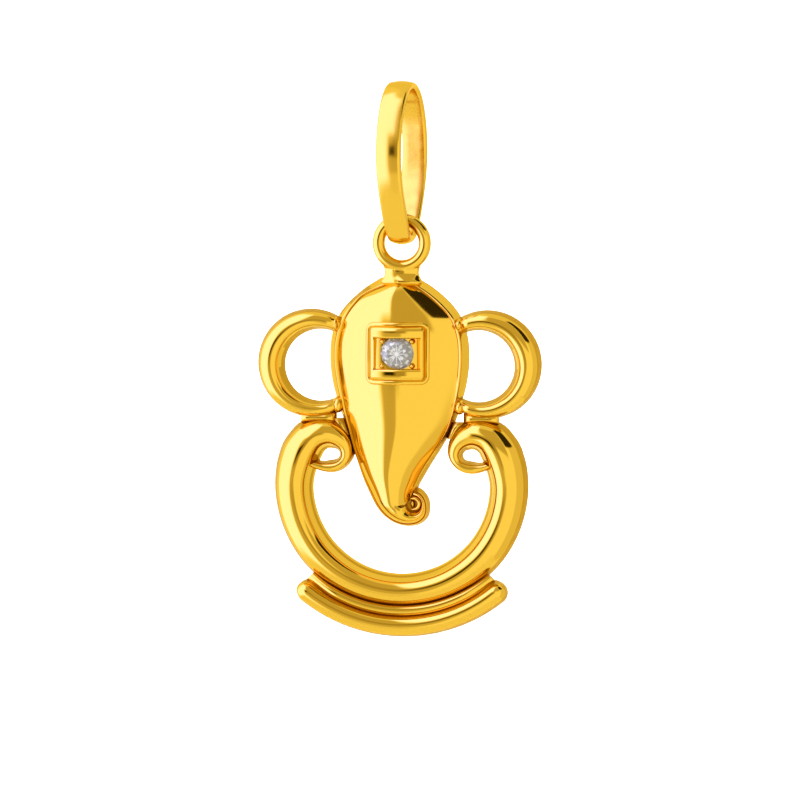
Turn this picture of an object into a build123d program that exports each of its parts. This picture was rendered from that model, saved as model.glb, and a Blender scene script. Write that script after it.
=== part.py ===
from build123d import *
import os
from math import atan2, cos, degrees, radians, sin, sqrt, tan

# Ganesha pendant in yellow gold: a domed elephant head with a curled trunk, two ring ears, a ring of two
# arms with scrolled ends and a base bar, hung by its top loop in an oval band bail.
# Millimetres, +Z up, the front faces -Y. The origin is the chain's seat: the middle of the inside of the
# bail's top. Angles are degrees from +X towards +Z, seen from the front.

# Bail: an oval band, open along its width, turned a little about the upright axis as it hangs
bail_inside_height = 7.13
bail_band_thickness = 0.42
bail_band_width = 1.08
bail_depth = 4.85
bail_foot_thickness = 0.42
bail_foot_radius = 0.92
bail_foot_inner_radius = 0.66
bail_foot_lean = 22.0
bail_turn = -12.0
bail_edge_radius = 0.15
bail_corner_radius = 0.36

# Top loop and the neck that it stands on
loop_wire = 0.62
loop_side_room = 0.295
loop_seat_gap = 0.14
neck_drop = 1.95
neck_narrow_width = 1.76
neck_thickness = 0.7
neck_foot_sink = 0.4

# Depth of the body, from its flat back to the front
back_offset = 0.66
plate_depth = 0.75
wall_depth = 0.72
wall_lean = 0.19
wall_lean_share = 0.13
crown_ratio = 0.76
back_spare = 0.3

# Head: a plate with a rim, and a dome on it that runs into the trunk
head_x = -0.09
head_width = 6.94
head_height = 10.95
head_rim = 0.42
head_rise = 1.2
trunk_curl_radius = 2.01
trunk_eye_radius = 0.36
trunk_eye_x = 0.725
trunk_eye_wire = 0.17

# Ears: rings that are widest at their outer side
ear_drop = 3.95
ear_outer_radius = 2.69
ear_reach = 7.07
ear_side_width = 1.295
ear_hole_radius = 1.82
ear_hole_lower = 0.09
ear_end_angle = 135
ear_spans = 9

# Arms: a ring open at the top, each end rolled into a scroll beside the trunk
arm_drop = 10.11
arm_outer_radius = 6.3
arm_inner_radius = 4.45
scroll_x = 3.5
scroll_rise = 1.54
scroll_radius = 2.476

# Base bar under the arms, and the solder seams
base_radius = 7.475
base_drop_from_arms = 0.545
base_width = 1.22
base_half_angle = 37.8
base_end_turns = (65, 35)
seam_depth = 0.62
ear_seam_x = 4.2
ear_seam_width = 1.7
ear_seam_height = 0.7
head_seam_x = 2.6
head_seam_rise = 0.85
head_seam_width = 0.9
head_seam_height = 1.0
head_seam_tilt = 20
scroll_seam_x = 4.15
scroll_seam_drop = 0.52
scroll_seam_width = 0.5
scroll_seam_height = 0.42

# Setting and stone
stone_diameter = 1.65
stone_gap = 0.04
stone_overlap = 0.11
stone_table_share = 0.56
stone_crown_share = 0.14
stone_girdle_share = 0.03
stone_pavilion_share = 0.43
setting_drop = 3.43
setting_width = 2.69
setting_height = 2.66
setting_front = 2.17
setting_side_bar = 0.2
setting_floor_depth = 0.5
setting_corner_radius = 0.22
stone_table_depth = 0.07
seat_share = 0.9

# Places that follow from the sizes above
back_y = back_offset
bail_outer_height = bail_inside_height + bail_band_thickness + bail_foot_thickness
bail_foot_z = -bail_inside_height - bail_foot_thickness
loop_inner_radius = bail_band_width / 2 + loop_side_room
loop_radius = loop_inner_radius + loop_wire / 2
loop_z = -bail_inside_height - sqrt((loop_inner_radius - loop_seat_gap) ** 2 - (bail_band_width / 2) ** 2)
head_top_z = loop_z - neck_drop
trunk_eye_z = head_top_z - head_height
ear_z = head_top_z - ear_drop
arm_z = head_top_z - arm_drop
base_z = arm_z + base_drop_from_arms
setting_z = head_top_z - setting_drop
head_half = head_width / 2
stone_crown = stone_diameter * stone_crown_share
stone_girdle = stone_diameter * stone_girdle_share
stone_pavilion = stone_diameter * stone_pavilion_share
girdle_height = setting_front - stone_table_depth - stone_crown
stone_overlap_share = stone_overlap / (stone_diameter / 2 * (1 - stone_table_share))
pavilion_lean = degrees(atan2(stone_diameter / 2, stone_pavilion))
front_plane = Plane(origin=(0, back_y, 0), x_dir=(1, 0, 0), z_dir=(0, -1, 0))
setting_plane = Plane(origin=(0, back_y, setting_z), x_dir=(1, 0, 0), z_dir=(0, -1, 0))
stone_plane = setting_plane.offset(girdle_height)

# Neck, from the loop down: half width and drop as shares of their own
NECK_ROWS = (
    (1.12, 0.55),
    (1.0, 0.695),
    (1.13, 0.85),
    (1.55, 1.0),
    (1.83, 1.095),
)

# Head: drop as a share of the head's height, left and right reach and dome height as shares of half the
# width and of the rise
HEAD_ROWS = (
    (0.018, 0.468, 0.468, 0.30),
    (0.055, 0.615, 0.615, 0.52),
    (0.11, 0.787, 0.787, 0.72),
    (0.174, 0.908, 0.908, 0.86),
    (0.256, 0.98, 0.98, 0.95),
    (0.338, 1.0, 1.0, 1.0),
    (0.438, 0.971, 0.971, 1.0),
    (0.548, 0.888, 0.888, 0.97),
    (0.658, 0.767, 0.767, 0.93),
    (0.767, 0.659, 0.565, 0.88),
    (0.822, 0.601, 0.448, 0.83),
    (0.877, 0.543, 0.337, 0.77),
    (0.918, 0.493, 0.262, 0.71),
)

# Trunk's curl about its eye: angle, reach of the outline as a share of the curl's radius, dome height as a
# share of the rise
CURL_ROWS = (
    (180, 1.0, 0.60),
    (195, 0.881, 0.57),
    (208, 0.796, 0.54),
    (230, 0.689, 0.50),
    (258, 0.602, 0.45),
    (290, 0.547, 0.40),
    (315, 0.498, 0.36),
    (332, 0.448, 0.33),
    (350, 0.403, 0.30),
    (370, 0.373, 0.27),
    (395, 0.353, 0.24),
    (422, 0.378, 0.21),
)

# Ring of the arms: angle from the bottom towards the scroll, inner and outer radius as shares of their own
ARM_ROWS = (
    (0.0, 1.0, 0.957),
    (25.0, 1.0, 0.966),
    (50.0, 1.0, 0.991),
    (75.0, 1.0, 1.0),
    (92.0, 0.997, 1.004),
    (103.0, 0.975, 1.001),
)

# Scroll about its eye: turn from the ray through the ring's centre, inner and outer radius as shares of
# the scroll's radius
SCROLL_ROWS = (
    (0, 0.170, 0.95),
    (18, 0.158, 0.901),
    (36, 0.147, 0.841),
    (66, 0.137, 0.753),
    (96, 0.147, 0.626),
    (126, 0.174, 0.535),
    (156, 0.190, 0.479),
    (186, 0.174, 0.420),
    (216, 0.141, 0.388),
    (246, 0.127, 0.376),
    (272, 0.150, 0.385),
    (292, 0.200, 0.408),
)

# Facets of the stone: how many, direction of the first, then reach and level at two places on each. Reach
# is a share of the radius; level runs from the girdle's top at 0 to the table at 1 and the culet at -1.
FACET_ROWS = (
    (8, 0.0, 1.0, 0.0, 0.56, 1.0),
    (8, 22.5, 0.9, 0.48, 0.57, 1.0),
    (16, 11.25, 0.98, 0.0, 0.66, 1.0),
    (8, 0.0, 1.0, 0.0, 0.03, -1.0),
    (16, 11.25, 0.98, 0.0, 0.16, -1.0),
)


def facet_level(level):
    """Height of a facet's corner over the top of the girdle."""
    return level * stone_crown if level > 0 else level * stone_pavilion


def ray_plane(centre, angle):
    """Plane that holds the ray from a centre: x along the ray, y from the flat back to the front."""
    x, z = centre
    a = radians(angle)
    return Plane(origin=(x, back_y, z), x_dir=(cos(a), 0, sin(a)), z_dir=(sin(a), 0, -cos(a)))


def tube_section(plane, inner, outer):
    """Half-round tube across a ray: flat back, leaning walls, round crown."""
    lean = min(wall_lean, wall_lean_share * (outer - inner))
    crest = wall_depth + crown_ratio * ((outer - inner) / 2 - lean)
    with BuildSketch(plane) as section:
        with BuildLine():
            Polyline(
                (inner + lean, wall_depth), (inner, 0), (inner, -back_spare),
                (outer, -back_spare), (outer, 0), (outer - lean, wall_depth),
            )
            ThreePointArc(
                (outer - lean, wall_depth), ((inner + outer) / 2, crest), (inner + lean, wall_depth)
            )
        make_face()
    return section.sketch


def dome_section(plane, start, end, rise):
    """Slice of the dome: sunk in the plate below, a round crown above."""
    with BuildSketch(plane) as section:
        with BuildLine():
            Polyline((start, plate_depth), (start, plate_depth / 2), (end, plate_depth / 2), (end, plate_depth))
            ThreePointArc((end, plate_depth), ((start + end) / 2, plate_depth + rise), (start, plate_depth))
        make_face()
    return section.sketch


def arm_sections(side):
    """Sections of one arm, from the bottom of the ring up to its scroll and round the scroll's eye."""
    sections = []
    for turn, inner_share, outer_share in ARM_ROWS:
        angle = -90 + turn if side > 0 else 270 - turn
        plane = ray_plane((0, arm_z), angle)
        sections.append(tube_section(plane, arm_inner_radius * inner_share, arm_outer_radius * outer_share))
    start = degrees(atan2(scroll_rise, scroll_x))
    for turn, inner_share, outer_share in SCROLL_ROWS:
        angle = start + turn if side > 0 else 180 - start - turn
        plane = ray_plane((side * scroll_x, arm_z + scroll_rise), angle)
        sections.append(tube_section(plane, scroll_radius * inner_share, scroll_radius * outer_share))
    return sections


def bar_sections():
    """Sections of the base bar, narrowing in a half circle at each end."""
    reach = degrees(base_width / 2 / base_radius)
    ends = [(base_half_angle + reach * sin(radians(turn)), cos(radians(turn))) for turn in base_end_turns]
    middle = [(base_half_angle * step / 3, 1.0) for step in range(3, -4, -1)]
    rows = ends + middle + [(-angle, share) for angle, share in reversed(ends)]
    sections = []
    for angle, share in rows:
        half = share * base_width / 2
        sections.append(tube_section(ray_plane((0, base_z), angle - 90), base_radius - half, base_radius + half))
    return sections


def ear_sections(side):
    """Sections of one ear, the ring between two circles that lie closest beside the head."""
    outer_x = ear_reach - ear_outer_radius
    hole_x = ear_reach - ear_side_width - ear_hole_radius
    sections = []
    for step in range(round(ear_spans) + 1):
        angle = ear_end_angle * (2 * step / ear_spans - 1)
        a = radians(angle)
        ray = (cos(a), sin(a))
        shift_x = outer_x - hole_x
        along = shift_x * ray[0] + ear_hole_lower * ray[1]
        across = shift_x**2 + ear_hole_lower**2 - along**2
        outer = along + sqrt(ear_outer_radius**2 - across)
        plane = ray_plane(
            (head_x + side * hole_x, ear_z - ear_hole_lower), angle if side > 0 else 180 - angle
        )
        sections.append(tube_section(plane, ear_hole_radius, outer))
    return sections


def bail_outline(half, foot_radius, foot_base):
    """Bail seen from its side: half-round top, long side arcs, a short straight run and a round foot."""
    lean = radians(bail_foot_lean)
    shoulder = bail_outer_height - bail_depth / 2
    foot_x = foot_radius * cos(lean)
    foot_y = foot_base + foot_radius * (1 - sin(lean))
    side_radius = (foot_x + (shoulder - foot_y) * tan(lean) - half) / (1 / cos(lean) - 1)
    side_x = half - side_radius * (1 - cos(lean))
    side_y = shoulder - side_radius * sin(lean)
    CenterArc((0, shoulder), half, 0, 180)
    CenterArc((0, foot_base + foot_radius), foot_radius, 180 + bail_foot_lean, 180 - 2 * bail_foot_lean)
    for side in (-1, 1):
        Line((side * foot_x, foot_y), (side * side_x, side_y))
        start = -bail_foot_lean if side > 0 else 180
        CenterArc((side * (half - side_radius), shoulder), side_radius, start, bail_foot_lean)


# Bail: a band round its own side view, with rounded rims
turn = radians(bail_turn)
bail_plane = Plane(origin=(0, 0, bail_foot_z), x_dir=(-sin(turn), cos(turn), 0), z_dir=(cos(turn), sin(turn), 0))
bail_half = bail_depth / 2
with BuildPart() as bail:
    with BuildSketch(bail_plane):
        with BuildLine():
            bail_outline(bail_half, bail_foot_radius, 0)
        make_face()
        with BuildLine():
            bail_outline(bail_half - bail_band_thickness, bail_foot_inner_radius, bail_foot_thickness)
        make_face(mode=Mode.SUBTRACT)
    extrude(amount=bail_band_width / 2, both=True)
    rims = bail.faces().filter_by(GeomType.PLANE).sort_by(Axis((0, 0, 0), tuple(bail_plane.z_dir)))
    fillet(rims[0].edges() + rims[-1].edges(), bail_edge_radius)
    # The foot's lower corners are rounded across the band
    across_plane = Plane(origin=bail_plane.origin, x_dir=bail_plane.z_dir, z_dir=bail_plane.x_dir)
    with BuildSketch(across_plane.offset(-bail_half)) as across:
        with Locations((0, -bail_outer_height / 2)):
            Rectangle(bail_band_width, bail_outer_height)
        fillet(across.vertices().group_by(Axis.Y)[-1], bail_corner_radius)
    extrude(amount=bail_depth, mode=Mode.INTERSECT)
bail.part.label = "bail"

# Head plate's outline: down the left side, round the curl, back up the right side
left_points = [
    (head_x - left * head_half, head_top_z - drop * head_height) for drop, left, right, rise in HEAD_ROWS
]
right_points = [
    (head_x + right * head_half, head_top_z - drop * head_height) for drop, left, right, rise in HEAD_ROWS
]
trunk_eye = (head_x + trunk_eye_x, trunk_eye_z)
curl_points = [
    (
        trunk_eye[0] + reach * trunk_curl_radius * cos(radians(angle)),
        trunk_eye[1] + reach * trunk_curl_radius * sin(radians(angle)),
    )
    for angle, reach, rise in CURL_ROWS
]

with BuildPart() as pendant_body:
    # Arms and their scrolls, then the base bar
    loft(sections=arm_sections(-1)[:0:-1] + arm_sections(1))
    loft(sections=bar_sections())

    # Head plate
    with BuildSketch(front_plane):
        with BuildLine():
            Spline(*left_points, *curl_points)
            Spline(curl_points[-1], *reversed(right_points))
            Line(right_points[0], left_points[0])
        make_face()
    extrude(amount=plate_depth)

    # Dome and trunk
    dome = []
    for drop, left, right, rise in HEAD_ROWS:
        level = Plane(
            origin=(head_x, back_y, head_top_z - drop * head_height), x_dir=(1, 0, 0), z_dir=(0, 0, -1)
        )
        dome.append(
            dome_section(level, head_rim - left * head_half, right * head_half - head_rim, rise * head_rise)
        )
    eye_level = Plane(origin=(head_x, back_y, trunk_eye_z), x_dir=(1, 0, 0), z_dir=(0, 0, -1))
    dome.append(
        dome_section(
            eye_level,
            trunk_eye_x - trunk_curl_radius + head_rim,
            trunk_eye_x - trunk_eye_radius,
            CURL_ROWS[0][2] * head_rise,
        )
    )
    loft(sections=dome)
    curl = [
        dome_section(
            ray_plane(trunk_eye, angle),
            trunk_eye_radius,
            reach * trunk_curl_radius - head_rim * reach,
            rise * head_rise,
        )
        for angle, reach, rise in CURL_ROWS
    ]
    loft(sections=curl)

    # Ears
    for side in (-1, 1):
        loft(sections=ear_sections(side))

    # Solder seam between the arms and the base
    with BuildSketch(front_plane):
        with BuildLine():
            seam_start = -90 - base_half_angle
            outer_arc = CenterArc((0, base_z), base_radius, seam_start, 2 * base_half_angle)
            inner_arc = CenterArc(
                (0, arm_z), arm_outer_radius * ARM_ROWS[0][2] - base_width / 4, seam_start, 2 * base_half_angle
            )
            Line(outer_arc @ 0, inner_arc @ 0)
            Line(outer_arc @ 1, inner_arc @ 1)
        make_face()
    extrude(amount=seam_depth)

    # Solder seams between the ears and the arms, the head and the scrolls, and each scroll's tip and its arm
    with BuildSketch(front_plane):
        for side in (-1, 1):
            with Locations((side * ear_seam_x, ear_z - ear_outer_radius)):
                Rectangle(ear_seam_width, ear_seam_height)
            head_seam_z = arm_z + scroll_rise + head_seam_rise
            with Locations(Location((side * head_seam_x, head_seam_z), side * head_seam_tilt)):
                Rectangle(head_seam_width, head_seam_height)
            with Locations((side * scroll_seam_x, arm_z + scroll_rise - scroll_seam_drop)):
                Rectangle(scroll_seam_width, scroll_seam_height)
    extrude(amount=seam_depth)

    # Neck
    with BuildSketch(Plane(origin=(0, neck_thickness / 2, loop_z), x_dir=(1, 0, 0), z_dir=(0, -1, 0))):
        with BuildLine():
            neck_foot_half = neck_narrow_width / 2
            neck_foot_drop = neck_drop + neck_foot_sink
            neck_side = [(half * neck_narrow_width / 2, -drop * neck_drop) for half, drop in NECK_ROWS]
            neck_right = Spline(*neck_side)
            neck_left = Spline(*[(-x, z) for x, z in neck_side])
            Line(neck_right @ 0, neck_left @ 0)
            Polyline(
                neck_right @ 1,
                (neck_foot_half, -neck_foot_drop),
                (-neck_foot_half, -neck_foot_drop),
                neck_left @ 1,
            )
        make_face()
    extrude(amount=neck_thickness)

    # Top loop
    with Locations(Plane(origin=(0, 0, loop_z), z_dir=(0, 1, 0))):
        Torus(loop_radius, loop_wire / 2)

    # Eye of the trunk's curl: a ridge round a bead
    with Locations(Plane(origin=(trunk_eye[0], back_y - plate_depth, trunk_eye[1]), z_dir=(0, -1, 0))):
        Torus(trunk_eye_radius - trunk_eye_wire / 3, trunk_eye_wire / 2)
        Sphere(trunk_eye_wire / 2)

    # Setting: a block with a channel between two bars, undercut for the stone's rim
    with BuildSketch(setting_plane):
        RectangleRounded(setting_width, setting_height, setting_corner_radius)
    extrude(amount=setting_front)
    with BuildSketch(setting_plane.offset(setting_front)):
        Rectangle(setting_width - 2 * setting_side_bar, stone_diameter - 2 * stone_overlap)
    extrude(amount=-setting_floor_depth, mode=Mode.SUBTRACT)
    with BuildSketch(setting_plane.offset(girdle_height - stone_girdle - stone_gap)):
        Circle(stone_diameter / 2 + stone_gap)
    extrude(amount=stone_girdle + 2 * stone_gap + stone_crown * stone_overlap_share, mode=Mode.SUBTRACT)
    with BuildSketch(setting_plane.offset(girdle_height - stone_girdle - stone_gap)):
        Circle(stone_diameter / 2 + stone_gap)
    extrude(amount=-stone_pavilion * seat_share, taper=pavilion_lean, mode=Mode.SUBTRACT)

    # Flat back
    split(bisect_by=front_plane, keep=Keep.TOP)
pendant_body.part.label = "pendant_body"

# Stone: round brilliant, its table to the front
with BuildPart() as stone:
    with BuildSketch(stone_plane.offset(stone_crown)):
        Circle(stone_diameter / 2)
    extrude(amount=-stone_crown - stone_girdle - stone_pavilion)
    for count, first, near_reach, near_level, far_reach, far_level in FACET_ROWS:
        for step in range(round(count)):
            direction = radians(first + step * 360 / count)
            near = (near_reach * stone_diameter / 2, facet_level(near_level))
            far = (far_reach * stone_diameter / 2, facet_level(far_level))
            rise = (far[1] - near[1], near[0] - far[0])
            away = stone_plane.x_dir * cos(direction) + stone_plane.y_dir * sin(direction)
            normal = away * abs(rise[0]) + stone_plane.z_dir * rise[1] * (1 if rise[0] > 0 else -1)
            touch = stone_plane.origin + away * near[0] + stone_plane.z_dir * near[1]
            split(bisect_by=Plane(origin=touch, z_dir=normal), keep=Keep.BOTTOM)
stone.part.label = "stone"

os.makedirs("parts", exist_ok=True)
export_step(bail.part, "parts/bail.step")
export_step(pendant_body.part, "parts/pendant_body.step")
export_step(stone.part, "parts/stone.step")
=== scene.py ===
"""Ganesha pendant in polished yellow gold, hung by its top loop in an oval band bail."""

from math import atan2, cos, degrees, pi, radians, sin, sqrt

import bmesh
import bpy
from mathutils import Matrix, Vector


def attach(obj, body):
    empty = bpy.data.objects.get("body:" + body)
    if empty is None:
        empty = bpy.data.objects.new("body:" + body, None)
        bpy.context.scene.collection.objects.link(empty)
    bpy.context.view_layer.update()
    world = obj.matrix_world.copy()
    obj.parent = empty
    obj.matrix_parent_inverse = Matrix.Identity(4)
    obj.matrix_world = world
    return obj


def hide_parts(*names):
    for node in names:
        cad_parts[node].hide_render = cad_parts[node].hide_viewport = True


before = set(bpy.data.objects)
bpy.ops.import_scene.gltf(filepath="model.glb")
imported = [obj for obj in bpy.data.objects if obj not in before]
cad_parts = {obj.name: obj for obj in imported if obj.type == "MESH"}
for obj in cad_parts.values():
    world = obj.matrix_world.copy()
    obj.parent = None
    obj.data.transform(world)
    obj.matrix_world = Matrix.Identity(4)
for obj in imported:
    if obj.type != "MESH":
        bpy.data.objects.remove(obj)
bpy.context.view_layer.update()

bl_info = {
    "name": "Ganesha pendant",
    "version": (1, 0, 0),
    "blender": (4, 5, 0),
    "location": "3D View > Sidebar > Pendant",
    "description": "Builds a gold elephant-head pendant with its bail, its stone and a small studio",
    "category": "Add Mesh",
}

MM = 0.001

# Lengths are in millimetres, but in metres for the studio; angles are in degrees

# Places of the parts from the chain seat: across, and heights. The scrolls' are from the middle of the arms
HEAD_X = -0.09
BAIL_X = 0.09
LOOP_X = 0.09
LOOP_Z = -7.5675
HEAD_TOP = -9.5175
EAR_Z = HEAD_TOP - 4.06
ARM_Z = HEAD_TOP - 10.11
BASE_Z = ARM_Z + 0.545
SCROLL_X = 3.5
SCROLL_RISE = 1.54
SETTING_Z = HEAD_TOP - 3.43
EYE_X = HEAD_X + 0.725
EYE_Z = HEAD_TOP - 10.95

# Bail: height of its opening, what its top is higher than a half circle, and its foot
BAIL_INSIDE = 7.13
BAIL_TOP_STRETCH = 1.1
BAIL_FOOT_THICKNESS = 0.52
BAIL_FOOT_RADIUS = 0.92
BAIL_FOOT_INNER_RADIUS = 0.66
BAIL_FOOT_LEAN = 32.0

# Bail: pull of its curved sides, share that the band narrows by at the foot and the height where that starts
BAIL_SIDE_PULL = 1.5
BAIL_NARROWING = 0.11
BAIL_NARROWING_TOP = 1.5

# Bail: radius of its rims and of its foot's corners, crown of its outside, and level that its inside faces
BAIL_EDGE = 0.15
BAIL_CORNER = 0.36
BAIL_SWELL = 0.09
BAIL_MIDDLE = 3.6

# Tubes: shift of the crest towards the inside of a ring, as a share of the half width
CREST_SHIFT = 0.12

# How far the backs of soldered pieces are sunk, so that pieces that cross lie a hair apart
RING_SUNK = 0.01
ARM_SUNK = 0.02
TIP_SUNK = 0.06
SEAM_SUNK = 0.05

# Height over the back up to which upright faces are dull and painted darker as shade
TUBE_WALLS = 0.68
LOW_WALLS = 0.6
EYE_WALLS = 0.43

# Head: depth of the groove round the dome, fullness of the dome to the left and right, shift of its crest
GROOVE = 0.07
DOME_LEFT = 0.97
DOME_RIGHT = 1.05
DOME_SHIFT = 0.05

# Ears: reach of the outer side, radius round the outside, width at the side, radius and drop of the hole
EAR_REACH = 7.067
EAR_RADIUS = 2.69
EAR_SIDE_WIDTH = 1.295
EAR_HOLE = 1.82
EAR_HOLE_DROP = 0.09

# Ears: angle of their ends, then where they start to get lower, over what angle and by what share
EAR_END = 123
EAR_DIP_START = 103
EAR_DIP_SPAN = 16
EAR_DIP = 0.27

# Base bar: radius of its middle line, width, and angle of its ends to the left and right
BASE_RADIUS = 7.473
BASE_WIDTH = 1.218
BASE_LEFT = 38.2
BASE_RIGHT = 38.9

# Setting: size of the block, levels of its front, floor and back, its bars, its window and its doming
SETTING_WIDTH = 2.69
SETTING_HEIGHT = 2.66
SETTING_FRONT = 2.17
SETTING_FLOOR = 1.67
SETTING_BACK = 0.4
SETTING_BAR = 0.2
SETTING_WINDOW = 1.5
SETTING_DOMING = 0.2

# Claws: place across and up from the stone's middle, then radius and rise over the floor from foot to tip
CLAW_X = 0.74
CLAW_Z = 0.6
CLAW_ROWS = ((0.16, 0.0), (0.15, 0.1), (0.13, 0.22), (0.1, 0.31), (0.05, 0.36), (0.012, 0.37))

# Stone: how far its table lies behind the setting's front, then its parts as shares of its diameter
STONE_SUNK = 0.07
STONE_CROWN = 0.14
STONE_GIRDLE = 0.03
STONE_PAVILION = 0.43

# Head: drop, outline to the left and right, crown to the left and right, rise of the dome; from the head's
# middle and top
HEAD_ROWS = (
    (-0.2, 0.92, 0.92, 0.05, 0.05, 0.0),
    (-0.08, 1.1, 1.1, 0.14, 0.16, 0.04),
    (0.02, 1.26, 1.26, 0.32, 0.38, 0.16),
    (0.16, 1.5, 1.5, 0.68, 0.7, 0.32),
    (0.36, 1.78, 1.78, 1.18, 1.06, 0.47),
    (0.61, 2.09, 2.09, 1.66, 1.42, 0.62),
    (1.1, 2.6, 2.6, 2.18, 1.99, 0.82),
    (1.63, 3.0, 3.0, 2.55, 2.48, 0.96),
    (2.1, 3.22, 3.22, 2.76, 2.72, 1.05),
    (2.76, 3.4, 3.4, 2.95, 2.91, 1.12),
    (3.61, 3.47, 3.47, 3.03, 2.97, 1.18),
    (4.9, 3.36, 3.36, 2.9, 2.89, 1.17),
    (6.0, 3.08, 3.08, 2.68, 2.71, 1.13),
    (7.2, 2.66, 2.66, 2.4, 2.38, 1.05),
    (8.4, 2.287, 1.98, 2.1, 1.7, 0.95),
    (9.0, 2.085, 1.6, 1.91, 1.3, 0.89),
    (9.6, 1.884, 1.25, 1.7, 0.96, 0.82),
    (10.05, 1.71, 1.0, 1.5, 0.78, 0.76),
    (10.5, 1.5, 0.82, 1.29, 0.64, 0.69),
)

# Trunk's curl about its eye: angle, reach of the outline and of the crown, radius of the eye, rise of dome
# and height of the lip at the eye
CURL_ROWS = (
    (180, 2.01, 1.79, 0.3, 0.62, 0.3),
    (195, 1.77, 1.56, 0.31, 0.58, 0.44),
    (208, 1.6, 1.4, 0.32, 0.57, 0.44),
    (230, 1.385, 1.2, 0.36, 0.51, 0.38),
    (258, 1.21, 1.03, 0.4, 0.45, 0.29),
    (290, 1.1, 0.93, 0.41, 0.39, 0.2),
    (315, 1.0, 0.83, 0.41, 0.34, 0.13),
    (332, 0.9, 0.74, 0.4, 0.29, 0.08),
    (350, 0.82, 0.66, 0.39, 0.24, 0.04),
    (370, 0.78, 0.62, 0.38, 0.19, 0.01),
    (395, 0.76, 0.6, 0.37, 0.14, 0.0),
    (420, 0.78, 0.6, 0.36, 0.09, 0.0),
    (445, 0.8, 0.6, 0.35, 0.04, 0.0),
)

# Solder between scroll and head: level, left and right edge, height against a full tube
WEB_LEFT = (
    (-16.29, -3.45, -2.7, 0.6),
    (-16.4, -3.4, -2.7, 0.66),
    (-16.6, -3.22, -2.65, 0.7),
    (-16.85, -3.02, -2.58, 0.72),
    (-17.1, -2.85, -2.5, 0.72),
)
WEB_RIGHT = (
    (-16.44, 2.55, 3.28, 0.6),
    (-16.55, 2.5, 3.22, 0.66),
    (-16.75, 2.45, 3.02, 0.7),
    (-17.0, 2.38, 2.84, 0.72),
    (-17.25, 2.3, 2.68, 0.72),
)

# Drops of solder at the ears' ends: place across and up, half width and half height
SOLDER_DROPS = (
    (-3.22, -11.62, 0.2, 0.36),
    (2.9, -11.6, 0.24, 0.32),
    (-3.1, -15.6, 0.28, 0.42),
    (2.93, -15.68, 0.28, 0.38),
)

# Ring of the arms: angle from the bottom, inner and outer radius
ARM_ROWS = (
    (0.0, 4.45, 6.029),
    (25.0, 4.45, 6.086),
    (50.0, 4.45, 6.243),
    (75.0, 4.45, 6.3),
    (92.0, 4.437, 6.325),
    (103.0, 4.339, 6.306),
)

# Scroll about its eye: the turn past which it counts as the tip, then its rows: turn from the ray through the
# ring's centre, inner and outer radius
SCROLL_TIP = 280
SCROLL_ROWS = (
    (0, 0.421, 2.352),
    (18, 0.391, 2.231),
    (36, 0.364, 2.082),
    (66, 0.339, 1.864),
    (96, 0.364, 1.55),
    (126, 0.431, 1.325),
    (156, 0.47, 1.186),
    (186, 0.431, 1.04),
    (216, 0.349, 0.961),
    (246, 0.325, 0.935),
    (268, 0.375, 0.96),
    (286, 0.48, 1.03),
    (300, 0.61, 1.16),
    (309, 0.73, 1.28),
)

# Neck under the loop: how far back it stands, then its rows: drop from the loop's middle, half width, half
# depth, shift of its front crest
NECK_BACK = 0.05
NECK_ROWS = (
    (0.98, 0.8, 0.2, 0.0),
    (1.06, 0.95, 0.24, 0.0),
    (1.2, 0.91, 0.28, 0.0),
    (1.36, 0.865, 0.31, -0.08),
    (1.52, 0.855, 0.33, -0.14),
    (1.66, 0.9, 0.36, -0.05),
    (1.78, 0.97, 0.41, 0.1),
    (1.86, 1.03, 0.44, 0.2),
    (1.95, 1.05, 0.44, 0.25),
    (2.1, 0.92, 0.32, 0.22),
)

# Facets of the stone: how many, direction of the first, then reach and level at two places on each
FACET_ROWS = (
    (8, 0.0, 1.0, 0.0, 0.56, 1.0),
    (8, 22.5, 0.9, 0.48, 0.57, 1.0),
    (16, 11.25, 0.98, 0.0, 0.66, 1.0),
    (8, 0.0, 1.0, 0.0, 0.03, -1.0),
    (16, 11.25, 0.98, 0.0, 0.16, -1.0),
)

# Tent of light: its own level, and the level of its big panels
TENT = 1.1
SOFTBOX = 2.14

# Panels and flags of the tent: left and right edge, low and high edge, brightness and softness of the edges;
# angles from straight in front and from level
STUDIO_PANELS = (
    (-140.0, -60.0, -80.0, 75.0, 1.24, 14.0),
    (66.0, 128.0, -80.0, 28.0, 1.04, 12.0),
    (0.0, 62.0, -80.0, 24.0, 1.33, 8.0),
    (-8.0, 46.0, 14.0, 58.0, 0.74, 6.0),
    (-26.0, -4.0, -24.0, 14.0, 0.8, 5.0),
    (-104.0, -34.0, -30.0, 24.0, SOFTBOX, 12.0),
    (-104.0, -15.0, 24.0, 72.0, SOFTBOX, 7.0),
    (-12.0, 2.0, -4.0, 12.0, 0.56, 6.0),
    (-20.0, -12.0, -1.0, 4.0, 0.02, 6.0),
    (56.0, 104.0, 29.0, 64.0, 0.04, 3.5),
)

# Tints of the tent: between which levels its light turns from warm to white, and from white to cool
WARM_LEVELS = (0.2, 1.25)
COOL_LEVELS = (1.3, SOFTBOX)
WARM_TINT = (1.0, 0.8, 0.3, 1.0)
COOL_TINT = (0.97, 0.97, 3.6, 1.0)
WHITE = (1.0, 1.0, 1.0, 1.0)

# Floor sheet: its size and level, how many steps bend it up and how long each is, and the height of its back
SHEET_SIZE = 0.8
SHEET_LEVEL = -0.45
SHEET_BENDS = 12
SHEET_BEND = 0.026
SHEET_BACK = 0.5

# Camera: its distance, what it looks at, the width that it sees there, and its sensor in millimetres
CAMERA_DISTANCE = 0.32
CAMERA_AIM = (-0.000025, 0.0002, -0.01535)
CAMERA_VIEW = 0.0395
CAMERA_SENSOR = 36.0


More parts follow.
